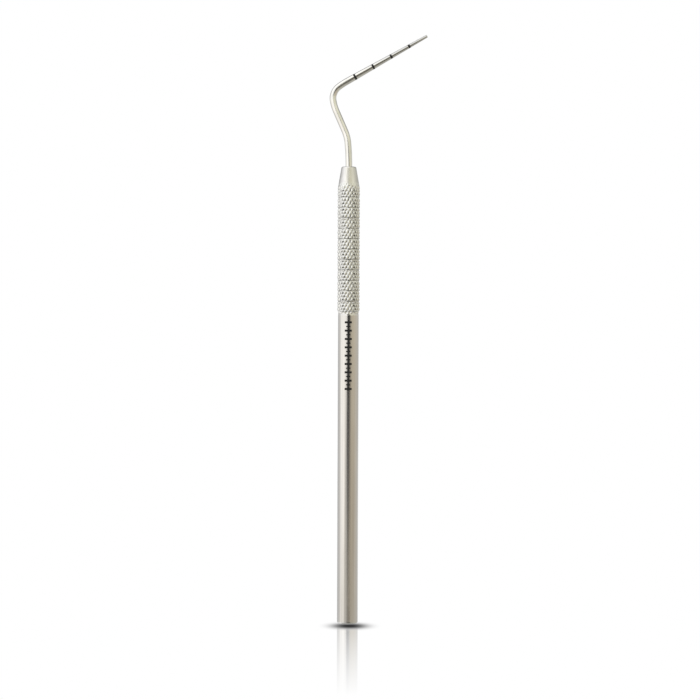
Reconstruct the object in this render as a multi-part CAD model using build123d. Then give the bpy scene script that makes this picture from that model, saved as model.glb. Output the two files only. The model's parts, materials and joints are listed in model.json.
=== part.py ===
"""Graduated dental probe: a solid knurled handle with a bent, tapered wire brazed into its nose.

Frame: millimetres, +Z up the handle, origin at the centre of the flat butt face. The wire bends in the
XZ plane and its tip points towards +X. The scale etched on the handle faces -Y.
"""

from build123d import *
import os
from math import cos, radians, sin

# Handle: turned and knurled from 5 mm bar
BAR_RADIUS = 2.5
HANDLE_LENGTH = 110.0
BUTT_FILLET = 0.45
GRIP_START = 75.0  # height where the knurled grip begins
GRIP_BANDS = 12
BAND_PITCH = 2.5
CREST_RADIUS = 2.7  # over the knurl, which rolling raises above the bar
GRIP_LEAD_IN = 0.3  # height of the slope from the bar out to the crests
RING_WIDTH = 0.5  # of the plain groove between two bands, at its mouth
RING_FLOOR_WIDTH = 0.14
RING_DEPTH = 0.2
CONE_START = 104.55  # height where the turned cone cuts off the top band
NOSE_RADIUS = 1.76  # at the mouth of the cone
NOSE_FILLET = 0.3

# Working end: one spring-steel wire with a straight root, two bends and a tapered tip
WIRE_RADIUS = 0.8
ROOT_DEPTH = 12.0  # length of wire inside the nose
# Each run is (length along the wire, turn to the left in degrees), from the nose to the taper.
WIRE_RUNS = [
    (0.85, 0.0),  # straight out of the nose
    (5.0, 6.0),  # first lean of the back bend
    (2.95, 17.6),  # back bend
    (5.2, 0.0),  # straight, leaning back
    (2.6, -13.8),  # easing into the main bend
    (3.75, -61.7),  # main bend
    (2.25, -8.4),  # easing out of it
    (0.4, 0.0),  # straight up to the taper
]
TAPER_LENGTH = 22.0
TIP_RADIUS = 0.34
TIP_BEVEL = 0.12

# Depth marks: black rings set flush in grooves round the taper
MARK_DEPTHS = [5, 10, 15, 20]  # distance from the tip
MARK_WIDTH = 0.5
MARK_THICKNESS = 0.06

# Silver braze that fixes the root in the bore of the nose
BRAZE_GAP = 0.1
BRAZE_RECESS = 0.2  # how far it stops short of the mouth

# Scale etched on the handle: a line with millimetre ticks, every other one long and thick, black and flush
# in a shallow pocket
SCALE_START = 56.1
SCALE_RANGE = 16  # millimetres
SCALE_OVERHANG = 0.4  # of the line past the first and last ticks' middles
SCALE_LINE_ARC = 10.0  # degrees round the handle
LONG_TICK_ARC = 40.0
LONG_TICK_HEIGHT = 0.5
SHORT_TICK_ARC = 25.0
SHORT_TICK_HEIGHT = 0.3
SCALE_THICKNESS = 0.06

ROOT_START = HANDLE_LENGTH - ROOT_DEPTH
BORE_RADIUS = WIRE_RADIUS + BRAZE_GAP


def half_section(outline):
    """The face in the XZ plane with these (radius, height) corners."""
    return make_face(Polyline(*[(radius, 0, height) for radius, height in outline], close=True))


def grip_outline():
    """The knurled grip's envelope, from its lead-in up to the cone, with a groove between bands."""
    outline = [(BAR_RADIUS, GRIP_START), (CREST_RADIUS, GRIP_START + GRIP_LEAD_IN)]
    for band in range(1, GRIP_BANDS):
        middle = GRIP_START + band * BAND_PITCH
        outline += [
            (CREST_RADIUS, middle - RING_WIDTH / 2),
            (CREST_RADIUS - RING_DEPTH, middle - RING_FLOOR_WIDTH / 2),
            (CREST_RADIUS - RING_DEPTH, middle + RING_FLOOR_WIDTH / 2),
            (CREST_RADIUS, middle + RING_WIDTH / 2),
        ]
    return outline + [(CREST_RADIUS, CONE_START)]


def make_handle(scale):
    """Butt, plain shank, grip and cone in one piece, bored for the wire and etched for the scale."""
    nose = [(NOSE_RADIUS, HANDLE_LENGTH), (BORE_RADIUS, HANDLE_LENGTH), (BORE_RADIUS, ROOT_START)]
    outline = [(0, 0), (BAR_RADIUS, 0), *grip_outline(), *nose, (0, ROOT_START)]
    section = half_section(outline)
    butt_corner = section.vertices().sort_by_distance((BAR_RADIUS, 0, 0))[0]
    section = fillet(butt_corner, BUTT_FILLET)
    nose_corner = section.vertices().sort_by_distance((NOSE_RADIUS, 0, HANDLE_LENGTH))[0]
    section = fillet(nose_corner, NOSE_FILLET)
    return revolve(section, Axis.Z) - scale


def wire_route():
    """The wire's centreline from the bottom of the bore to the taper, and the taper's direction."""
    here = Vector(0, 0, HANDLE_LENGTH)
    heading = 90.0
    pieces = [Line((0, 0, ROOT_START), here)]
    for length, turn in WIRE_RUNS:
        along = Vector(cos(radians(heading)), 0, sin(radians(heading)))
        if turn == 0:
            there = here + along * length
            pieces.append(Line(here, there))
        else:
            chord = 2 * length / radians(turn) * sin(radians(turn) / 2)
            chord_heading = radians(heading + turn / 2)
            there = here + Vector(cos(chord_heading), 0, sin(chord_heading)) * chord
            pieces.append(TangentArc(here, there, tangent=along))
        here = there
        heading += turn
    route = Wire([edge for piece in pieces for edge in piece.edges()])
    return route, Vector(cos(radians(heading)), 0, sin(radians(heading)))


def taper_radius(depth):
    """Radius of the taper at this distance from the tip."""
    return TIP_RADIUS + (WIRE_RADIUS - TIP_RADIUS) * depth / TAPER_LENGTH


def make_depth_mark(depth, tip):
    """One ring round the taper, flush with it outside."""
    low, high = depth - MARK_WIDTH / 2, depth + MARK_WIDTH / 2
    outline = [
        (taper_radius(low) - MARK_THICKNESS, low),
        (taper_radius(low), low),
        (taper_radius(high), high),
        (taper_radius(high) - MARK_THICKNESS, high),
    ]
    return tip.location * revolve(half_section(outline), Axis.Z)


def make_working_end(route, tip, marks):
    """Root, bends and taper as one bent wire, grooved for the depth marks."""
    wire = sweep(Plane.XY.offset(ROOT_START) * Circle(WIRE_RADIUS), path=route)
    outline = [
        (0, 0),
        (TIP_RADIUS - TIP_BEVEL, 0),
        (TIP_RADIUS, TIP_BEVEL),
        (WIRE_RADIUS, TAPER_LENGTH),
        (0, TAPER_LENGTH),
    ]
    taper = tip.location * revolve(half_section(outline), Axis.Z)
    return wire + taper - marks


def make_braze():
    """The thin sleeve of braze between root and bore."""
    top = HANDLE_LENGTH - BRAZE_RECESS
    outline = [(WIRE_RADIUS, ROOT_START), (BORE_RADIUS, ROOT_START), (BORE_RADIUS, top), (WIRE_RADIUS, top)]
    return revolve(half_section(outline), Axis.Z)


def scale_bar(arc, middle, height):
    """A thin bar curved round the handle, centred on -Y, flush with the bar stock outside."""
    inside = BAR_RADIUS - SCALE_THICKNESS
    low, high = middle - height / 2, middle + height / 2
    outline = [(inside, low), (BAR_RADIUS, low), (BAR_RADIUS, high), (inside, high)]
    return Rot(0, 0, -90 - arc / 2) * revolve(half_section(outline), Axis.Z, arc)


def make_scale():
    """The scale's line and its ticks as one flat inlay."""
    length = SCALE_RANGE + 2 * SCALE_OVERHANG
    scale = scale_bar(SCALE_LINE_ARC, SCALE_START + length / 2, length)
    for tick in range(SCALE_RANGE + 1):
        middle = SCALE_START + SCALE_OVERHANG + tick
        if tick % 2 == 0:
            scale += scale_bar(LONG_TICK_ARC, middle, LONG_TICK_HEIGHT)
        else:
            scale += scale_bar(SHORT_TICK_ARC, middle, SHORT_TICK_HEIGHT)
    return scale


def make_parts():
    """Every piece by its node name."""
    route, along = wire_route()
    tip = Plane(route @ 1 + along * TAPER_LENGTH, x_dir=(0, 1, 0), z_dir=-along)
    marks = {f"depth_mark_{depth:02d}": make_depth_mark(depth, tip) for depth in MARK_DEPTHS}
    scale = make_scale()
    return {
        "handle": make_handle(scale),
        "working_end": make_working_end(route, tip, list(marks.values())),
        "braze_sleeve": make_braze(),
        "handle_scale": scale,
        **marks,
    }


os.makedirs("parts", exist_ok=True)
for name, part in make_parts().items():
    export_step(part, f"parts/{name}.step")
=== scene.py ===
"""Looks of the graduated dental probe: knurled handle, bent wire end, black marks, braze and studio.

Metres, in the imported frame: +Z runs up the handle from the butt at the origin, the tip points towards +X,
and the scale faces -Y. An azimuth is an angle round the handle from -Y towards +X.
"""

import bpy
import json
from collections import namedtuple
from math import atan2, cos, degrees, floor, pi, radians, sin
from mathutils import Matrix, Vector, noise


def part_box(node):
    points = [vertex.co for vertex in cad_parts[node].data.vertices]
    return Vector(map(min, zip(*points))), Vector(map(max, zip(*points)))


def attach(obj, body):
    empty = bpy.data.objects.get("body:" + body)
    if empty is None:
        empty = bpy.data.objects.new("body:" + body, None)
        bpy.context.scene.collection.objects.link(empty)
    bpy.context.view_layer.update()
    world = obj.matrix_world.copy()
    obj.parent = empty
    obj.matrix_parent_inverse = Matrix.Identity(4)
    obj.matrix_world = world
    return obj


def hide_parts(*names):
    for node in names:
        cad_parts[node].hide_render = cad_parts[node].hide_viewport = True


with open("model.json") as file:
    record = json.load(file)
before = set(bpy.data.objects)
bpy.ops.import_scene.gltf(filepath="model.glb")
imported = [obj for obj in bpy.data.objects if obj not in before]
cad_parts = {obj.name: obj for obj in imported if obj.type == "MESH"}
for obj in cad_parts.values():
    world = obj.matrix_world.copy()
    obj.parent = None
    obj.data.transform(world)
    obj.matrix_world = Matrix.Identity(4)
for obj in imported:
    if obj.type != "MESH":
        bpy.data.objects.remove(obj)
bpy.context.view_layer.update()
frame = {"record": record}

MM = 0.001
record = frame["record"]
mounts = {mount["name"]: mount for mount in record["mounts"]}

# Handle
BAR_RADIUS = mounts["handle_shank"]["dims"]["r_mm"] * MM
HANDLE_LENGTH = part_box("handle")[1].z
BUTT_FILLET = 0.45 * MM
CONE_LENGTH = 5.45 * MM
CONE_START = HANDLE_LENGTH - CONE_LENGTH
GRIP_START = 75 * MM
GRIP_BANDS = 12
BAND_PITCH = 2.5 * MM
CREST_RISE = 0.2 * MM  # of the knurl's crests above the bar
CREST_RADIUS = BAR_RADIUS + CREST_RISE
GRIP_LEAD_IN = 0.3 * MM
RING_WIDTH = 0.5 * MM
RING_FLOOR_WIDTH = 0.14 * MM
RING_DEPTH = 0.2 * MM
NOSE_RADIUS = 1.76 * MM
NOSE_FILLET = 0.3 * MM
CONE_SLOPE = (CREST_RADIUS - NOSE_RADIUS) / CONE_LENGTH
BORE_RADIUS = 0.9 * MM
MOUTH_CHAMFER = 0.04 * MM  # on the bore's edge
ROOT_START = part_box("working_end")[0].z
ROW_MARGIN = 0.15 * MM  # from an edge to the mesh row that keeps it crisp

# Diamond knurl, rolled over the whole grip and onto the cone
DIAMONDS_ROUND = 18
DIAMOND_HEIGHT = BAND_PITCH * 8 / 13
KNURL_DEPTH = 0.3 * MM
VALLEY_SHARE = 0.55  # depth of a groove between crossings, as a share of the depth where two cross
GROOVE_HALF_WIDTH = 0.44  # as a share of the step from one groove to the next
CREST_WEAR = 0.02 * MM
RUN_OUT = 0.8 * MM  # over which the knurl fades into the shank
KNURL_PHASE = 0.55  # where the pattern starts at the grip's foot, as a share of a diamond
STEPS_PER_DIAMOND = 8  # mesh columns and rows across one diamond
COLUMNS = DIAMONDS_ROUND * STEPS_PER_DIAMOND
COLUMN_ANGLE = 2 * pi / COLUMNS

# Wire end. A run is (length in mm, turn to the left in degrees), from the nose to the taper, as in the design.
# The runs are rounded from a least-squares fit to the wire's centreline in the photograph.
WIRE_RADIUS = 0.8 * MM
WIRE_RUNS = [
    (0.85, 0.0),
    (5.0, 6.0),
    (2.95, 17.6),
    (5.2, 0.0),
    (2.6, -13.8),
    (3.75, -61.7),
    (2.25, -8.4),
    (0.4, 0.0),
]
TAPER_LENGTH = 22 * MM
TIP_RADIUS = 0.34 * MM
TIP_ROUNDING = 0.12 * MM
MARK_DEPTHS = [5, 10, 15, 20]
MARK_WIDTH = 0.5 * MM
MARK_THICKNESS = 0.06 * MM
MARK_CROWN = 0.006 * MM  # how far the black fill stands proud in the middle
WIRE_SIDES = 72
BEND_STEP = radians(2.5)  # of the wire's bends from one mesh row to the next
TAPER_ROW_GAP = 1.6 * MM  # from a mark to the taper's next mesh row
BRAZE_DIP = 0.05 * MM  # of the braze's end between wire and bore

# Etched scale
SCALE_THICKNESS = 0.06 * MM
SCALE_RANGE = 16  # millimetres
LONG_TICK_HEIGHT = 0.5 * MM
SHORT_TICK_HEIGHT = 0.3 * MM
SCALE_LINE_COLUMNS = 2  # mesh columns on each side of the front
LONG_TICK_COLUMNS = 8
SHORT_TICK_COLUMNS = 5
INLAY_SINK = 0.012 * MM  # the black fill lies this far below the steel


def vertex_place(radius, azimuth, height):
    """The point at this radius and azimuth round the handle's axis."""
    return (radius * sin(azimuth), -radius * cos(azimuth), height)


class Mesh:
    """Vertices and faces of one piece while it is being built."""

    def __init__(self):
        self.points = []
        self.faces = []
        self.made = {}

    def vertex(self, point):
        """The number of a new vertex."""
        self.points.append(point)
        return len(self.points) - 1

    def shared(self, key, point):
        """The number of the vertex with this key, made at its first use."""
        if key not in self.made:
            self.made[key] = self.vertex(point)
        return self.made[key]

    def skin(self, lower, upper):
        """Quads between two closed rows of the same length."""
        for here in range(len(lower)):
            after = (here + 1) % len(lower)
            self.faces.append((lower[here], lower[after], upper[after], upper[here]))

    def skin_all(self, rows):
        """Quads between each row and the next."""
        for lower, upper in zip(rows, rows[1:]):
            self.skin(lower, upper)

    def fan(self, row, point, flip=False):
        """Triangles that close a row to one point."""
        middle = self.vertex(point)
        for here in range(len(row)):
            after = (here + 1) % len(row)
            corners = (row[after], row[here], middle) if flip else (row[here], row[after], middle)
            self.faces.append(corners)

    def piece(self, name, material, sharp_angle=30):
        """The finished object, smooth except at edges sharper than sharp_angle degrees."""
        data = bpy.data.meshes.new(name)
        data.from_pydata(self.points, [], self.faces)
        data.validate()
        data.shade_smooth()
        data.set_sharp_from_angle(angle=radians(sharp_angle))
        data.materials.append(material)
        piece = bpy.data.objects.new(name, data)
        bpy.context.scene.collection.objects.link(piece)
        return piece


# Handle ------------------------------------------------------------------------------------------


def handle_row(mesh, radius, height):
    """A row of vertices round the handle."""
    return [mesh.vertex(vertex_place(radius, column * COLUMN_ANGLE, height)) for column in range(COLUMNS)]


def quarter_round(centre_radius, centre_height, size, start, end, steps=8):
    """(radius, height) pairs along an arc, its angles in degrees from the horizontal."""
    pairs = []
    for step in range(steps + 1):
        angle = radians(start + (end - start) * step / steps)
        pairs.append((centre_radius + size * cos(angle), centre_height + size * sin(angle)))
    return pairs


def groove(phase):
    """How deep into a groove this phase lies: 1 at its bottom, 0 on the land beside it."""
    return max(0.0, 1 - abs(phase - round(phase)) / GROOVE_HALF_WIDTH)


def ring_heights():
    """Heights of the ring grooves' middles."""
    return [GRIP_START + band * BAND_PITCH for band in range(1, GRIP_BANDS)]


def ring_offset(height):
    """Distance from the nearest ring groove's middle."""
    return min(abs(height - middle) for middle in ring_heights())


def ring_radius(height):
    """Radius of the ring groove's section at this height: its floor, its walls or the crests beside it."""
    wall = (ring_offset(height) - RING_FLOOR_WIDTH / 2) / ((RING_WIDTH - RING_FLOOR_WIDTH) / 2)
    return CREST_RADIUS - RING_DEPTH * (1 - min(max(wall, 0.0), 1.0))


def cone_radius(height):
    """Radius of the cone, carried on below its start."""
    return CREST_RADIUS - CONE_SLOPE * (height - CONE_START)


def grip_radius(azimuth, height):
    """Radius of the knurled surface, which fades into the shank and which the cone cuts off."""
    around = azimuth / (2 * pi) * DIAMONDS_ROUND
    along = (height - GRIP_START) / DIAMOND_HEIGHT + KNURL_PHASE
    shallow, deep = sorted((groove(around + along), groove(around - along)))
    depth = KNURL_DEPTH * (VALLEY_SHARE * deep + (1 - VALLEY_SHARE) * shallow)
    turns = 2 * DIAMONDS_ROUND
    diamond = Vector((floor(around + along) % turns, floor(around - along) % turns, 0.5))
    wear = CREST_WEAR * noise.cell(diamond)
    raised = CREST_RISE * min(max(height - GRIP_START, 0) / GRIP_LEAD_IN, 1)
    kept = 1 - max(GRIP_START - height, 0) / RUN_OUT
    return min(BAR_RADIUS + raised - (depth + wear) * kept, ring_radius(height), cone_radius(height))


def grip_heights():
    """Heights of the mesh rows over the grip: even steps, with rows of their own at each ring groove."""
    step = DIAMOND_HEIGHT / STEPS_PER_DIAMOND
    foot = GRIP_START - RUN_OUT
    rows = round((CONE_START + KNURL_DEPTH / CONE_SLOPE - foot) / step)
    clear = RING_WIDTH / 2 + step / 4
    heights = [foot + row * step for row in range(rows + 1) if ring_offset(foot + row * step) > clear]
    for middle in ring_heights():
        for offset in (RING_FLOOR_WIDTH / 2, RING_WIDTH / 2):
            heights += [middle - offset, middle + offset]
    heights += [GRIP_START, GRIP_START + GRIP_LEAD_IN]
    return sorted(heights)


def grip_vertex(mesh, azimuth, height):
    """A new vertex on the knurled surface."""
    return mesh.vertex(vertex_place(grip_radius(azimuth, height), azimuth, height))


def knurled_rows(mesh, first_row):
    """The grip's rows from the shank's last row up, with a middle vertex in each cell so that both
    diagonals of a cell are edges: the grooves run along them."""
    lower = first_row
    heights = grip_heights()
    for number, height in enumerate(heights):
        upper = [grip_vertex(mesh, column * COLUMN_ANGLE, height) for column in range(COLUMNS)]
        if number == 0:
            mesh.skin(lower, upper)
        else:
            middle_height = (heights[number - 1] + height) / 2
            for column in range(COLUMNS):
                after = (column + 1) % COLUMNS
                middle = grip_vertex(mesh, (column + 0.5) * COLUMN_ANGLE, middle_height)
                corners = [lower[column], lower[after], upper[after], upper[column]]
                for side in range(4):
                    mesh.faces.append((corners[side], corners[(side + 1) % 4], middle))
        lower = upper
    return lower


def scale_cells():
    """The bars of the scale as (mesh columns on each side of the front, lowest, highest), from the packed
    inlay's box: its line and its ticks, as the design has them."""
    low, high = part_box("handle_scale")
    bars = [(SCALE_LINE_COLUMNS, low.z, high.z)]
    for tick in range(SCALE_RANGE + 1):
        middle = (low.z + high.z) / 2 + (tick - SCALE_RANGE / 2) * MM
        if tick % 2 == 0:
            columns, height = LONG_TICK_COLUMNS, LONG_TICK_HEIGHT
        else:
            columns, height = SHORT_TICK_COLUMNS, SHORT_TICK_HEIGHT
        bars.append((columns, middle - height / 2, middle + height / 2))
    return bars


SCALE_BARS = scale_cells()
SCALE_HEIGHTS = sorted({height for bar in SCALE_BARS for height in bar[1:]})


def in_scale(column, row):
    """Whether the cell above this column and row number of the scale's grid is etched."""
    middle = (SCALE_HEIGHTS[row] + SCALE_HEIGHTS[row + 1]) / 2
    signed = column if column < COLUMNS / 2 else column - COLUMNS
    return any(-half <= signed < half and bottom < middle < top for half, bottom, top in SCALE_BARS)


def etched_cells():
    """Every etched cell of the scale's grid."""
    rows = range(len(SCALE_HEIGHTS) - 1)
    return {(column, row) for column in range(COLUMNS) for row in rows if in_scale(column, row)}


def cell_corners(mesh, column, row, radius, level):
    """The four vertices of a cell of the scale's grid, counter-clockwise from outside."""
    corners = []
    for across, up in ((0, 0), (1, 0), (1, 1), (0, 1)):
        place = (column + across) % COLUMNS
        point = vertex_place(radius, place * COLUMN_ANGLE, SCALE_HEIGHTS[row + up])
        corners.append(mesh.shared((place, row + up, level), point))
    return corners


def cell_walls(cells, column, row, outside, inside):
    """Walls from the outer to the inner corners of a cell, on the sides without a neighbour in cells."""
    left, right = (column - 1) % COLUMNS, (column + 1) % COLUMNS
    neighbours = ((column, row - 1), (right, row), (column, row + 1), (left, row))
    for side, neighbour in enumerate(neighbours):
        if neighbour not in cells:
            after = (side + 1) % 4
            yield (outside[side], outside[after], inside[after], inside[side])


def scale_rows(mesh, etched):
    """The shank's surface over the scale's length, with the pocket; gives its lowest and highest row."""
    for row in range(len(SCALE_HEIGHTS) - 1):
        for column in range(COLUMNS):
            outside = cell_corners(mesh, column, row, BAR_RADIUS, "bar")
            if (column, row) not in etched:
                mesh.faces.append(tuple(outside))
                continue
            inside = cell_corners(mesh, column, row, BAR_RADIUS - SCALE_THICKNESS, "pocket")
            mesh.faces.append(tuple(inside))
            mesh.faces.extend(cell_walls(etched, column, row, outside, inside))
    last = len(SCALE_HEIGHTS) - 1
    return [[mesh.made[(column, row, "bar")] for column in range(COLUMNS)] for row in (0, last)]


def butt_profile():
    """(radius, height) pairs from the butt face round its edge and up the shank to below the scale."""
    flat = BAR_RADIUS - BUTT_FILLET
    face = [(flat / 3, 0), (flat * 2 / 3, 0), (flat * 0.97, 0)]
    edge = quarter_round(flat, BUTT_FILLET, BUTT_FILLET, -90, 0)
    return face + edge + [(BAR_RADIUS, BUTT_FILLET + ROW_MARGIN), (BAR_RADIUS, SCALE_HEIGHTS[0] / 2)]


def nose_profile():
    """(radius, height) pairs from above the knurl up the cone, round its lip and down the bore."""
    lean = atan2(CREST_RADIUS - NOSE_RADIUS, CONE_LENGTH)
    lip_height = HANDLE_LENGTH - NOSE_FILLET
    lip_radius = cone_radius(lip_height) - NOSE_FILLET / cos(lean)
    lip = quarter_round(lip_radius, lip_height, NOSE_FILLET, degrees(lean), 90)
    foot = CONE_START + KNURL_DEPTH / CONE_SLOPE + 2 * ROW_MARGIN
    top = lip[0][1]
    cone = [(cone_radius(height), height) for height in (foot, top - 8 * ROW_MARGIN, top - ROW_MARGIN)]
    bore = [
        (BORE_RADIUS + MOUTH_CHAMFER, HANDLE_LENGTH),
        (BORE_RADIUS, HANDLE_LENGTH - MOUTH_CHAMFER),
        (BORE_RADIUS, ROOT_START),
    ]
    return cone + lip + bore


def make_handle(material):
    """Butt, shank with the scale's pocket, knurled grip, cone and bore as one closed mesh."""
    mesh = Mesh()
    butt_rows = [handle_row(mesh, radius, height) for radius, height in butt_profile()]
    mesh.fan(butt_rows[0], (0, 0, 0), flip=True)
    scale_low, scale_high = scale_rows(mesh, etched_cells())
    mesh.skin_all([*butt_rows, scale_low])
    grip_foot = handle_row(mesh, BAR_RADIUS, GRIP_START - RUN_OUT - ROW_MARGIN)
    mesh.skin(scale_high, grip_foot)
    grip_top = knurled_rows(mesh, grip_foot)
    nose_rows = [handle_row(mesh, radius, height) for radius, height in nose_profile()]
    mesh.skin_all([grip_top, *nose_rows])
    mesh.fan(nose_rows[-1], (0, 0, ROOT_START))
    piece = mesh.piece("knurled_handle", material)
    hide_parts("handle")
    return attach(piece, "root")


def make_scale(material):
    """The black fill of the scale, a closed mesh that lies in the handle's pocket."""
    mesh = Mesh()
    etched = etched_cells()
    for column, row in sorted(etched):
        outside = cell_corners(mesh, column, row, BAR_RADIUS - INLAY_SINK, "face")
        inside = cell_corners(mesh, column, row, BAR_RADIUS - SCALE_THICKNESS, "back")
        mesh.faces += [tuple(outside), tuple(reversed(inside))]
        walls = cell_walls(etched, column, row, outside, inside)
        mesh.faces.extend(tuple(reversed(wall)) for wall in walls)
    piece = mesh.piece("scale_inlay", material)
    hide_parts("handle_scale")
    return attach(piece, "root")


# Wire end ----------------------------------------------------------------------------------------


# A straight or an arc of the wire's centreline
Stretch = namedtuple("Stretch", "length point heading turn")


def wire_route():
    """The centreline's stretches from the bottom of the bore to the tip, angles in radians."""
    stretches = [Stretch(HANDLE_LENGTH - ROOT_START, Vector((0, 0, ROOT_START)), pi / 2, 0.0)]
    for length, turn in [*WIRE_RUNS, (TAPER_LENGTH / MM, 0.0)]:
        point, heading = along_stretch(stretches[-1], stretches[-1].length)
        stretches.append(Stretch(length * MM, point, heading, radians(turn)))
    return stretches


def along_stretch(stretch, distance):
    """Point and heading at this distance into a stretch."""
    swept = stretch.turn * distance / stretch.length
    chord = distance if stretch.turn == 0 else 2 * stretch.length / stretch.turn * sin(swept / 2)
    middle = stretch.heading + swept / 2
    return stretch.point + Vector((cos(middle), 0, sin(middle))) * chord, stretch.heading + swept


def wire_row(mesh, place, radius):
    """A row of vertices round the wire, square to it."""
    point, heading = place
    across = Vector((sin(heading), 0, -cos(heading))) * radius
    back = Vector((0, radius, 0))
    row = []
    for side in range(WIRE_SIDES):
        angle = 2 * pi * side / WIRE_SIDES
        row.append(mesh.vertex(tuple(point + across * cos(angle) + back * sin(angle))))
    return row


def taper_radius(depth):
    """Radius of the taper at this distance from the tip."""
    return TIP_RADIUS + (WIRE_RADIUS - TIP_RADIUS) * depth / TAPER_LENGTH


def taper_outline():
    """(distance from the tip, radius) pairs along the taper, with the marks' grooves and the rounded tip."""
    outline = [(TAPER_LENGTH, WIRE_RADIUS)]
    for depth in reversed(MARK_DEPTHS):
        upper, lower = depth * MM + MARK_WIDTH / 2, depth * MM - MARK_WIDTH / 2
        outline += [
            (upper, taper_radius(upper)),
            (upper, taper_radius(upper) - MARK_THICKNESS),
            (lower, taper_radius(lower) - MARK_THICKNESS),
            (lower, taper_radius(lower)),
            (lower - TAPER_ROW_GAP, taper_radius(lower - TAPER_ROW_GAP)),
        ]
    steps = 7
    for step in range(steps + 1):
        angle = pi / 2 * step / steps
        rounded = TIP_ROUNDING * (1 - sin(angle))
        outline.append((rounded, TIP_RADIUS - TIP_ROUNDING + TIP_ROUNDING * cos(angle)))
    return outline


def make_working_end(material, route):
    """The bent wire with its taper, the grooves of the depth marks and a softly rounded tip."""
    mesh = Mesh()
    rows = []
    for stretch in route[:-1]:
        steps = max(2, round(abs(stretch.turn) / BEND_STEP))
        for step in range(steps):
            rows.append(wire_row(mesh, along_stretch(stretch, stretch.length * step / steps), WIRE_RADIUS))
    taper = route[-1]
    for depth, radius in taper_outline():
        rows.append(wire_row(mesh, along_stretch(taper, TAPER_LENGTH - depth), radius))
    mesh.fan(rows[0], (0, 0, ROOT_START), flip=True)
    mesh.skin_all(rows)
    mesh.fan(rows[-1], tuple(along_stretch(taper, TAPER_LENGTH)[0]))
    piece = mesh.piece("bent_wire", material)
    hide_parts("working_end")
    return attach(piece, "root")


def make_depth_mark(depth, material, taper):
    """The black fill of one ring groove, crowned a little."""
    mesh = Mesh()
    rows = []
    half = MARK_WIDTH / 2
    outline = [(half, -MARK_THICKNESS), (half, -MARK_CROWN), (half * 0.6, MARK_CROWN / 2), (0, MARK_CROWN)]
    outline += [(-offset, proud) for offset, proud in reversed(outline[:-1])]
    for offset, proud in outline:
        distance = depth * MM + offset
        place = along_stretch(taper, TAPER_LENGTH - distance)
        rows.append(wire_row(mesh, place, taper_radius(distance) + proud))
    mesh.skin_all([*rows, rows[0]])
    piece = mesh.piece(f"depth_ring_{depth:02d}", material)
    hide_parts(f"depth_mark_{depth:02d}")
    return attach(piece, "root")


def make_braze(material):
    """The sleeve of braze between wire and bore, its end drawn up the walls as it froze."""
    mesh = Mesh()
    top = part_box("braze_sleeve")[1].z
    width = BORE_RADIUS - WIRE_RADIUS
    outline = [(WIRE_RADIUS, ROOT_START), (BORE_RADIUS, ROOT_START)]
    steps = 8
    for step in range(steps + 1):
        share = step / steps
        outline.append((BORE_RADIUS - width * share, top - BRAZE_DIP * sin(pi * share)))
    rows = [handle_row(mesh, radius, height) for radius, height in outline]
    mesh.skin_all([*rows, rows[0]])
    piece = mesh.piece("braze_fill", material)
    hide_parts("braze_sleeve")
    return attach(piece, "root")


# Materials ---------------------------------------------------------------------------------------


class Graph:
    """A material's or the world's node tree, with its nodes made and linked by short calls."""

    def __init__(self, tree):
        self.tree = tree
        tree.nodes.clear()

    def node(self, kind, settings=None, **inputs):
        """A node of this kind. An input is named by its label, or as i and its number. It is a value or
        another node's output socket."""
        made = self.tree.nodes.new(kind)
        for name, value in (settings or {}).items():
            setattr(made, name, value)
        for name, value in inputs.items():
            key = int(name[1:]) if name[1:].isdigit() else name.replace("_", " ")
            socket = made.inputs[key]
            if isinstance(value, bpy.types.NodeSocket):
                self.tree.links.new(value, socket)
            else:
                socket.default_value = value
        return made

    def math(self, operation, first, second=0.0, third=0.0):
        """The result of a math node."""
        made = self.node("ShaderNodeMath", {"operation": operation}, i0=first, i1=second, i2=third)
        return made.outputs[0]

    def product(self, first, *others):
        """All these values multiplied."""
        for other in others:
            first = self.math("MULTIPLY", first, other)
        return first

    def total(self, first, *others):
        """All these values added."""
        for other in others:
            first = self.math("ADD", first, other)
        return first

    def split(self, vector):
        """The three components of a vector."""
        return self.node("ShaderNodeSeparateXYZ", Vector=vector).outputs

    def between(self, value, low, high, out_low=0.0, out_high=1.0, smooth=True):
        """Value carried from low..high to out_low..out_high and held there."""
        settings = {"interpolation_type": "SMOOTHSTEP" if smooth else "LINEAR"}
        made = self.node("ShaderNodeMapRange", settings, i0=value, i1=low, i2=high, i3=out_low, i4=out_high)
        return made.outputs[0]

    def mix(self, share, first, second):
        """Colour mix."""
        made = self.node("ShaderNodeMix", {"data_type": "RGBA"})
        for index, value in ((0, share), (6, first), (7, second)):
            if isinstance(value, bpy.types.NodeSocket):
                self.tree.links.new(value, made.inputs[index])
            else:
                made.inputs[index].default_value = value
        return made.outputs[2]

    def ramp(self, value, stops):
        """Colour by value, from (position, colour) stops."""
        made = self.node("ShaderNodeValToRGB", i0=value)
        elements = made.color_ramp.elements
        while len(elements) < len(stops):
            elements.new(0.5)
        for element, (position, colour) in zip(elements, stops):
            element.position = position
        for element, (position, colour) in zip(made.color_ramp.elements, stops):
            element.color = (*colour, 1)
        return made.outputs[0]

    def texture(self, kind, vector, scale, settings=None, **inputs):
        """A texture's value, its space stretched by scale, a triple."""
        mapping = self.node("ShaderNodeMapping", Vector=vector, Scale=scale)
        return self.node(kind, settings, Vector=mapping.outputs[0], **inputs).outputs[0]


def material_graph(name):
    """A new material with its graph and the object's own coordinates in millimetres."""
    material = bpy.data.materials.new(name)
    material.use_nodes = True
    graph = Graph(material.node_tree)
    coordinates = graph.node("ShaderNodeTexCoord").outputs["Object"]
    scaled = graph.node("ShaderNodeVectorMath", {"operation": "SCALE"}, i0=coordinates, Scale=1 / MM)
    return material, graph, scaled.outputs[0]


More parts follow.
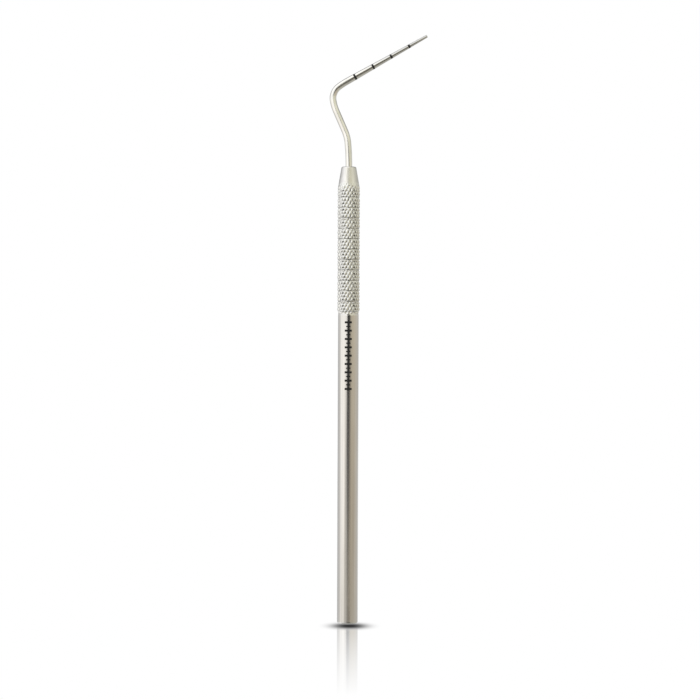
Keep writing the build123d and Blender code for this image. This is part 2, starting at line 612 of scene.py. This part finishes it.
def finish_surface(graph, colour, roughness, height, strength, depth, **constants):
    """The shader and the output, with a bump of this height field, strength and depth."""
    bump = graph.node("ShaderNodeBump", Height=height, Strength=strength, Distance=depth)
    shader = graph.node(
        "ShaderNodeBsdfPrincipled",
        Base_Color=colour,
        Roughness=roughness,
        Normal=bump.outputs[0],
        **constants,
    )
    graph.node("ShaderNodeOutputMaterial", Surface=shader.outputs[0])


def ring_painted_shade(graph, z, shade_patches):
    """Masks of painted shade under the ring grooves' upper edges, and of their lower walls, which are kept
    free of painted shade.
    """
    above_foot = graph.math("SUBTRACT", z, GRIP_START / MM)
    off_ring = graph.math("WRAP", above_foot, 0.5 * BAND_PITCH / MM, -0.5 * BAND_PITCH / MM)
    first, last = ring_heights()[0] / MM, ring_heights()[-1] / MM
    over_first = graph.between(z, first - 1, first - 0.9)
    under_last = graph.between(z, last + 1, last + 0.9)
    among_rings = graph.product(over_first, under_last)
    # Painted shade on the upper walls of the ring grooves, which face down; the lower walls, which face up,
    # are kept bright.
    upper_wall = graph.product(graph.between(off_ring, 0.0, 0.06), graph.between(off_ring, 0.3, 0.2))
    lower_wall = graph.product(graph.between(off_ring, -0.32, -0.24), graph.between(off_ring, 0.02, -0.04))
    shaded_upper_walls = graph.product(upper_wall, graph.between(shade_patches, 0.36, 0.6, 0.05, 0.6), among_rings)
    return shaded_upper_walls, graph.product(lower_wall, among_rings)


def knurl_painted_shade(graph, place, z, radius, in_grip):
    """Mask of painted shade down in the knurl, in uneven patches, by depth under the surface that was knurled;
    it adds the painted shade on the ring grooves' upper walls.
    """
    lead_in = (GRIP_START / MM, (GRIP_START + GRIP_LEAD_IN) / MM, BAR_RADIUS / MM, CREST_RADIUS / MM)
    cone = (CONE_START / MM, HANDLE_LENGTH / MM, CREST_RADIUS / MM, NOSE_RADIUS / MM)
    below_crests = graph.between(z, *lead_in, smooth=False)
    below_cone = graph.between(z, *cone, smooth=False)
    depth = graph.math("SUBTRACT", graph.math("MINIMUM", below_crests, below_cone), radius)
    deep = graph.between(depth, 0.55 * KNURL_DEPTH / MM, 0.82 * KNURL_DEPTH / MM)
    shade_patches = graph.texture("ShaderNodeTexNoise", place, (1.1, 1.1, 0.8), Scale=1.0, Detail=2.0)
    # Painted shade: the steel darkens in the knurl's deeper parts, in uneven patches.
    pit_shade = graph.product(in_grip, deep, graph.between(shade_patches, 0.3, 0.6, 0.55, 1.0))
    shaded_upper_walls, lit_lower_walls = ring_painted_shade(graph, z, shade_patches)
    return graph.product(graph.math("MAXIMUM", pit_shade, shaded_upper_walls), graph.math("SUBTRACT", 1.0, lit_lower_walls))


def handle_steel():
    """Polished stainless bar: faint draw lines along it, turning rings on the cone and the butt, fine
    pores, and painted shade down in the knurl and under the ring grooves' upper edges."""
    material, graph, place = material_graph("handle_steel")
    x, y, z = graph.split(place)
    radius = graph.math("SQRT", graph.total(graph.product(x, x), graph.product(y, y)))
    lengthwise = (3.5, 3.5, 0.015)
    draw = graph.texture("ShaderNodeTexNoise", place, lengthwise, Scale=1.0, Detail=5.0, Roughness=0.65)
    blotch = graph.texture("ShaderNodeTexNoise", place, (0.6, 0.6, 0.12), Scale=1.0, Detail=3.0)
    grain = graph.texture("ShaderNodeTexNoise", place, (14, 14, 14), Scale=1.0, Detail=4.0)
    turned_cone = graph.texture("ShaderNodeTexNoise", place, (0.02, 0.02, 16), Scale=1.0, Detail=2.0)
    rings = graph.node("ShaderNodeCombineXYZ", i0=graph.product(radius, 12.0)).outputs[0]
    turned_butt = graph.node("ShaderNodeTexNoise", Vector=rings, Scale=1.0, Detail=2.0).outputs[0]

    grip_start = GRIP_START / MM
    grip_end = CONE_START / MM + 1.5
    on_cone = graph.between(z, grip_end - 0.4, grip_end)
    on_butt = graph.between(z, 0.02, 0.0)
    over_shank = graph.between(z, grip_start - 0.2, grip_start + 0.2)
    under_cone = graph.between(z, grip_end + 0.3, grip_end - 0.3)
    in_grip = graph.product(over_shank, under_cone)

    light = (0.695, 0.685, 0.67, 1)
    dark = (0.565, 0.555, 0.54, 1)
    colour = graph.mix(graph.between(draw, 0.35, 0.68), dark, light)
    colour = graph.mix(graph.between(blotch, 0.35, 0.7, 0.0, 0.35), colour, (0.57, 0.555, 0.535, 1))
    colour = graph.mix(graph.product(in_grip, 0.3), colour, (0.79, 0.815, 0.79, 1))
    # Painted shade: the steel is darkened nearly to black in the knurl's depths and on the ring grooves' upper
    # walls.
    shade_patches = graph.product(knurl_painted_shade(graph, place, z, radius, in_grip), 0.92)
    colour = graph.mix(shade_patches, colour, (0.08, 0.078, 0.07, 1))

    roughness = graph.total(
        graph.between(draw, 0.3, 0.7, 0.11, 0.18),
        graph.between(blotch, 0.3, 0.7, 0.0, 0.04),
        graph.product(in_grip, 0.05),
    )
    height = graph.total(
        graph.product(draw, 0.5),
        graph.product(grain, 0.12),
        graph.product(on_cone, turned_cone),
        graph.product(on_butt, turned_butt),
    )
    finish_surface(graph, colour, roughness, height, 0.35, 0.002 * MM, Metallic=1.0)
    return material


def wire_steel():
    """Bright polished spring steel with fine polishing scratches."""
    material, graph, place = material_graph("wire_steel")
    fine = (9, 9, 2.5)
    scratches = graph.texture("ShaderNodeTexNoise", place, fine, Scale=1.0, Detail=6.0, Roughness=0.7)
    blotch = graph.texture("ShaderNodeTexNoise", place, (0.5, 0.5, 0.5), Scale=1.0, Detail=2.0)
    x = graph.split(place)[0]
    colour = graph.mix(graph.between(blotch, 0.35, 0.7), (0.71, 0.70, 0.675, 1), (0.66, 0.65, 0.62, 1))
    colour = graph.mix(graph.between(x, 0.0, 16.0, 0.0, 0.75), colour, (0.46, 0.46, 0.46, 1))
    roughness = graph.between(scratches, 0.3, 0.7, 0.03, 0.075)
    finish_surface(graph, colour, roughness, scratches, 0.12, 0.001 * MM, Metallic=1.0)
    return material


def mark_black():
    """Matt black fill, a little uneven."""
    material, graph, place = material_graph("mark_black")
    grain = graph.texture("ShaderNodeTexNoise", place, (10, 10, 10), Scale=1.0, Detail=4.0)
    colour = graph.mix(graph.between(grain, 0.35, 0.65), (0.006, 0.006, 0.006, 1), (0.014, 0.014, 0.013, 1))
    roughness = graph.between(grain, 0.3, 0.7, 0.45, 0.62)
    finish_surface(graph, colour, roughness, grain, 0.5, 0.004 * MM, Specular_IOR_Level=0.3)
    return material


def braze_silver():
    """Silver braze, slightly warm and frosted."""
    material, graph, place = material_graph("braze_silver")
    grain = graph.texture("ShaderNodeTexNoise", place, (8, 8, 8), Scale=1.0, Detail=4.0)
    colour = graph.mix(graph.between(grain, 0.35, 0.65), (0.62, 0.57, 0.45, 1), (0.50, 0.45, 0.34, 1))
    roughness = graph.between(grain, 0.3, 0.7, 0.32, 0.45)
    finish_surface(graph, colour, roughness, grain, 0.5, 0.004 * MM, Metallic=1.0)
    return material


# Studio ------------------------------------------------------------------------------------------

CAMERA_DISTANCE = 500 * MM
CAMERA_HEIGHT = 65.86 * MM
CAMERA_SIDE = 0.42 * MM  # towards +X
VIEW_WIDTH = 168.8 * MM  # width of the picture at the object
CAMERA_ROLL = -0.2  # degrees
SENSOR_WIDTH = 36.0
REFLECTION_REACH = 105 * MM  # how far from the butt the floor still mirrors
REFLECTION_SHARE = 0.66  # how much it mirrors at the butt
SHADOW_CENTRE = (0.5 * MM, -5.1 * MM)
SHADOW_SQUASH = 0.8  # its width over its depth
SHADOW_CORE = 0.8 * MM  # radius within which it is darkest
SHADOW_REACH = 8 * MM  # radius at which it ends
SHADOW_LEVEL = 0.035  # of its core
FLOOR_RADIUS = 250 * MM
FLOOR_DROP = 0.01 * MM  # so that it doesn't touch the butt


def make_camera():
    """A level camera in front of the object."""
    data = bpy.data.cameras.new("camera")
    data.sensor_width = SENSOR_WIDTH
    data.lens = SENSOR_WIDTH * CAMERA_DISTANCE / VIEW_WIDTH
    data.clip_start, data.clip_end = 0.01, 20
    camera = bpy.data.objects.new("camera", data)
    camera.location = (CAMERA_SIDE, -CAMERA_DISTANCE, CAMERA_HEIGHT)
    camera.rotation_euler = (pi / 2, radians(CAMERA_ROLL), 0)
    bpy.context.scene.collection.objects.link(camera)
    bpy.context.scene.camera = camera


def azimuth_stops(stops, green):
    """Ramp stops from a band's (azimuth, level, warmth) stops."""
    return [((azimuth + 180) / 360, grey(green, *tone)) for azimuth, *tone in stops]


def grey(green, level, warmth=0.0):
    """A grey that loses blue as warmth rises, and green by this share of that."""
    return (level, level * (1 - green * warmth), level * (1 - warmth))


# What the steel mirrors: a round screen painted in bands of (height in mm, green lost as a share of the
# blue lost, [(azimuth, level, warmth), ...]), with azimuths in degrees from -Y towards +X. It has a white
# panel on the left, the dark side of the room behind the camera, a beige wall on the right, bright diffusers
# above and the table below. Seen from the front, the shank mirrors the bands from -66 to 85 mm, the grip and
# the cone those up to 150 mm and the wire's root those up to 164 mm. Its bends and tip mirror all of them.
# The bands at -66, -20, 15, 42, 305 and 360 mm were typed from light levels that a script measured in the
# photograph, and then adjusted. So they are no example of how to set up a studio.
SCREEN_RADIUS = 500 * MM
SCREEN_LOW = -600 * MM
SCREEN_HIGH = 1500 * MM
SCREEN_SIDES = 180
SCREEN_BANDS = [
    (-400, 0.15, [
        (-180, 0.7), (-90, 1.3), (-40, 1.0), (0, 0.4, 0.1), (40, 0.45, 0.12), (90, 0.7, 0.12),
        (130, 0.45, 0.1), (180, 0.6),
    ]),
    (-200, 0.15, [
        (-180, 0.7), (-90, 1.3), (-35, 0.8), (0, 0.25, 0.1), (30, 0.2, 0.1), (40, 0.52, 0.2),
        (90, 0.7, 0.2), (180, 0.75),
    ]),
    (-72, 0.3, [
        (-180, 0.75), (-140, 0.65), (-85, 1.15, 0.1), (-40, 0.9, 0.1), (-10, 0.3, 0.1), (8, 0.05),
        (26, 0.05), (34, 0.5, 0.2), (118, 0.66, 0.13), (180, 0.8),
    ]),
    (-66, 0.38, [
        (-180, 0.75), (-140, 0.63), (-103, 0.84, 0.06), (-72, 1.15, 0.1), (-50, 1.12, 0.12),
        (-23, 0.72, 0.15), (-12, 0.7, 0.18), (-2, 0.66, 0.2), (8, 0.74, 0.24), (21, 0.74, 0.28),
        (32, 0.66, 0.28), (69, 0.66, 0.25), (99, 0.68, 0.18), (118, 0.66, 0.13), (145, 0.77, 0.06),
        (180, 0.8),
    ]),
    (-20, 0.38, [
        (-180, 0.75), (-140, 0.66), (-103, 0.92, 0.05), (-72, 1.38, 0.07), (-50, 1.4, 0.09),
        (-35, 0.98, 0.14), (-12, 0.64, 0.1), (-3, 0.22, 0.14), (10, 0.24, 0.28), (21, 0.46, 0.32),
        (44, 0.6, 0.33), (69, 0.6, 0.28), (83, 0.71, 0.22), (118, 0.7, 0.11), (145, 0.82, 0.05),
        (180, 0.85),
    ]),
    (15, 0.38, [
        (-180, 0.75), (-140, 0.66), (-103, 0.92, 0.05), (-84, 1.26, 0.05), (-60, 1.46, 0.06),
        (-44, 1.4, 0.08), (-23, 0.72, 0.1), (-13, 0.24, 0.08), (0, 0.12, 0.05), (12, 0.22, 0.14),
        (22, 0.3, 0.28), (32, 0.58, 0.31), (56, 0.74, 0.29), (74, 0.65, 0.28), (99, 0.71, 0.2),
        (145, 0.78, 0.04), (180, 0.8),
    ]),
    (42, 0.38, [
        (-180, 0.75), (-140, 0.66), (-105, 0.85, 0.05), (-86, 1.28, 0.06), (-66, 1.46, 0.07),
        (-46, 1.45, 0.09), (-24, 0.9, 0.12), (-12, 0.3, 0.1), (-5, 0.03), (3, 0.04), (9, 0.16, 0.15),
        (21, 0.28, 0.28), (31, 0.6, 0.3), (52, 0.75, 0.3), (74, 0.65, 0.28), (98, 0.72, 0.2),
        (142, 0.67, 0.08), (180, 0.75),
    ]),
    (85, 0.35, [
        (-180, 0.75), (-140, 0.7), (-105, 0.95, 0.05), (-80, 1.3, 0.06), (-40, 1.5, 0.05),
        (-24, 1.4, 0.08), (-12, 0.6, 0.1), (-5, 0.03), (12, 0.04), (21, 0.24, 0.2), (31, 0.62, 0.3),
        (60, 0.78, 0.3), (98, 0.75, 0.2), (180, 0.75),
    ]),
    (110, 0.25, [
        (-180, 0.7), (-140, 0.7), (-105, 1.0, 0.05), (-80, 1.4, 0.05), (-12, 1.45, 0.04),
        (-6, 0.1, 0.1), (14, 0.04), (22, 0.5, 0.25), (60, 0.8, 0.3), (98, 0.78, 0.2), (180, 0.7),
    ]),
    (150, 0.2, [
        (-180, 0.6), (-140, 0.75), (-105, 1.05, 0.04), (-75, 1.4, 0.03), (-12, 1.5, 0.05), (-8, 0.03),
        (13, 0.03), (17, 0.95, 0.2), (30, 0.95, 0.25), (98, 0.85, 0.15), (180, 0.6),
    ]),
    (164, 0.2, [
        (-180, 0.6), (-140, 0.75), (-105, 1.05, 0.04), (-75, 1.4, 0.03), (-12, 1.5, 0.05), (-8, 0.02),
        (13, 0.02), (17, 0.95, 0.2), (30, 0.95, 0.25), (98, 0.85, 0.15), (180, 0.6),
    ]),
    (168, 0.1, [
        (-180, 0.4), (-140, 0.6), (-105, 1.05, 0.04), (-75, 1.45), (3, 1.45, 0.03), (4, 0.03),
        (8, 0.03), (9, 1.1, 0.12), (30, 0.9, 0.22), (120, 0.8, 0.1), (180, 0.5),
    ]),
    (192, 0.1, [
        (-180, 0.3), (-145, 0.45), (-125, 0.8), (-75, 1.45), (1, 1.45, 0.03), (2, 0.03), (4, 0.03),
        (5, 1.0, 0.12), (30, 0.9, 0.22), (120, 0.8, 0.1), (180, 0.35),
    ]),
    (197, 0.1, [
        (-180, 0.3), (-145, 0.4), (-125, 0.8), (-75, 1.4), (-16, 1.45, 0.03), (-10, 0.02), (3, 0.02),
        (6, 1.0, 0.22), (60, 0.98, 0.2), (120, 0.75, 0.1), (180, 0.3),
    ]),
    (290, 0.1, [
        (-180, 0.3), (-145, 0.4), (-125, 0.8), (-75, 1.4), (-16, 1.4, 0.03), (-10, 0.02), (3, 0.02),
        (6, 0.98, 0.22), (60, 1.0, 0.2), (120, 0.62, 0.1), (180, 0.3),
    ]),
    (305, 0.1, [
        (-180, 0.3), (-145, 0.45), (-130, 0.84), (-108, 0.88), (-89, 1.1), (-70, 1.48),
        (-45, 1.53, 0.04), (-31, 1.42, 0.08), (-14, 1.08, 0.14), (20, 0.96, 0.23), (46, 1.07, 0.18),
        (60, 1.16, 0.16), (75, 0.97, 0.14), (110, 0.6, 0.1), (180, 0.35),
    ]),
    (360, 0.1, [
        (-180, 0.25), (-145, 0.4), (-130, 0.75), (-108, 0.9), (-89, 1.2), (-70, 1.5), (-45, 1.53, 0.04),
        (-31, 1.42, 0.08), (-14, 1.05, 0.14), (20, 0.96, 0.23), (46, 1.05, 0.18), (60, 1.1, 0.16),
        (75, 0.9, 0.14), (110, 0.55, 0.1), (180, 0.3),
    ]),
    (420, 0.1, [
        (-180, 0.25), (-145, 0.4), (-130, 0.75), (-108, 1.0), (-89, 1.3), (-70, 1.55), (-8, 1.5, 0.03),
        (20, 0.95, 0.2), (60, 0.95, 0.16), (110, 0.5, 0.1), (180, 0.3),
    ]),
    (1000, 0.1, [
        (-180, 0.2), (-132, 0.4), (-118, 0.9), (-106, 1.6), (-40, 1.55), (-10, 1.1, 0.05),
        (40, 0.75, 0.14), (90, 0.52, 0.12), (180, 0.25),
    ]),
]


def screen_material():
    """The painted screen, plain white to the ground's mirror image."""
    material, graph, place = material_graph("studio_screen")
    x, y, z = graph.split(place)
    azimuth = graph.math("ARCTAN2", x, graph.product(y, -1.0))
    turn = graph.total(graph.math("DIVIDE", azimuth, 2 * pi), 0.5)
    bands = []
    for height, green, stops in SCREEN_BANDS:
        bands.append((height, graph.ramp(turn, azimuth_stops(stops, green))))
    colour = bands[0][1]
    for (lower, _), (upper, band) in zip(bands, bands[1:]):
        colour = graph.mix(graph.between(z, lower, upper, smooth=False), colour, band)
    singular = graph.node("ShaderNodeLightPath").outputs["Is Singular Ray"]
    colour = graph.mix(singular, colour, (1.0, 1.0, 1.0, 1))
    emission = graph.node("ShaderNodeEmission", Color=colour, Strength=1.0)
    graph.node("ShaderNodeOutputMaterial", Surface=emission.outputs[0])
    material.cycles.emission_sampling = "NONE"
    return material


def circle(radius, sides, height):
    """Points round a level circle about the handle's axis."""
    return [vertex_place(radius, 2 * pi * side / sides, height) for side in range(sides)]


def make_screen():
    """The screen round the object, which only the steel sees."""
    mesh = Mesh()
    foot, head = (circle(SCREEN_RADIUS, SCREEN_SIDES, height) for height in (SCREEN_LOW, SCREEN_HIGH))
    mesh.skin([mesh.vertex(point) for point in foot], [mesh.vertex(point) for point in head])
    screen = mesh.piece("screen", screen_material())
    screen.visible_camera = False
    screen.visible_diffuse = False
    screen.visible_shadow = False


def make_world():
    """Even white for what the camera sees past the object and for matt surfaces. Above and below the screen
    the steel mirrors a ceiling, lighter on the left, and grey ground."""
    world = bpy.data.worlds.new("studio")
    bpy.context.scene.world = world
    world.use_nodes = True
    world.cycles.sampling_method = "NONE"
    graph = Graph(world.node_tree)
    direction = graph.node("ShaderNodeTexCoord").outputs["Generated"]
    x, _, z = graph.split(direction)
    ceiling = graph.mix(graph.between(x, -1.0, 1.0), (1.6, 1.6, 1.56, 1), (0.85, 0.83, 0.78, 1))
    ground = (0.42, 0.42, 0.4, 1)
    studio = graph.mix(graph.between(z, -0.1, 0.1), ground, ceiling)
    rays = graph.node("ShaderNodeLightPath").outputs
    plain = graph.math("MAXIMUM", rays["Is Camera Ray"], rays["Is Singular Ray"])
    plain = graph.math("MAXIMUM", plain, rays["Is Diffuse Ray"])
    colour = graph.mix(plain, studio, (1.0, 1.0, 1.0, 1))
    background = graph.node("ShaderNodeBackground", Color=colour, Strength=1.0)
    graph.node("ShaderNodeOutputWorld", Surface=background.outputs[0])


def floor_material():
    """White ground with a soft contact shadow and a mirror image that fades out; clear from below."""
    material, graph, place = material_graph("white_ground")
    x, y, _ = graph.split(place)
    reach = graph.node("ShaderNodeVectorMath", {"operation": "LENGTH"}, i0=place).outputs["Value"]
    mirror = graph.between(reach, 0.0, REFLECTION_REACH / MM, REFLECTION_SHARE, 0.0, smooth=False)
    across = graph.math("SUBTRACT", x, SHADOW_CENTRE[0] / MM)
    back = graph.product(graph.math("SUBTRACT", y, SHADOW_CENTRE[1] / MM), SHADOW_SQUASH)
    centred = graph.node("ShaderNodeCombineXYZ", i0=across, i1=back).outputs[0]
    off_shadow = graph.node("ShaderNodeVectorMath", {"operation": "LENGTH"}, i0=centred).outputs["Value"]
    lit = graph.between(off_shadow, SHADOW_CORE / MM, SHADOW_REACH / MM, SHADOW_LEVEL, 1.0)
    shade = graph.mix(lit, (0, 0, 0, 1), (1, 1, 1, 1))
    ground = graph.node("ShaderNodeEmission", Color=shade, Strength=1.0)
    image = graph.node("ShaderNodeBsdfGlossy", Roughness=0.0, Color=(1, 1, 1, 1))
    share = graph.product(mirror, graph.between(off_shadow, 2.5, SHADOW_REACH / MM))
    shown = graph.node("ShaderNodeMixShader", i0=share, i1=ground.outputs[0], i2=image.outputs[0])
    clear = graph.node("ShaderNodeBsdfTransparent")
    backfacing = graph.node("ShaderNodeNewGeometry").outputs["Backfacing"]
    surface = graph.node("ShaderNodeMixShader", i0=backfacing, i1=shown.outputs[0], i2=clear.outputs[0])
    graph.node("ShaderNodeOutputMaterial", Surface=surface.outputs[0])
    return material


def make_floor():
    """The round patch of ground under the butt."""
    mesh = Mesh()
    row = [mesh.vertex(point) for point in circle(FLOOR_RADIUS, 96, 0)]
    mesh.fan(row, (0, 0, 0))
    floor_disc = mesh.piece("ground", floor_material())
    floor_disc.location.z = -FLOOR_DROP
    floor_disc.visible_glossy = False
    floor_disc.visible_diffuse = False


# Assembly ----------------------------------------------------------------------------------------

make_camera()
make_world()
make_screen()
make_floor()
black = mark_black()
route = wire_route()
make_handle(handle_steel())
make_scale(black)
make_working_end(wire_steel(), route)
for depth in MARK_DEPTHS:
    make_depth_mark(depth, black, route[-1])
make_braze(braze_silver())
bpy.context.scene.view_settings.view_transform = "Standard"
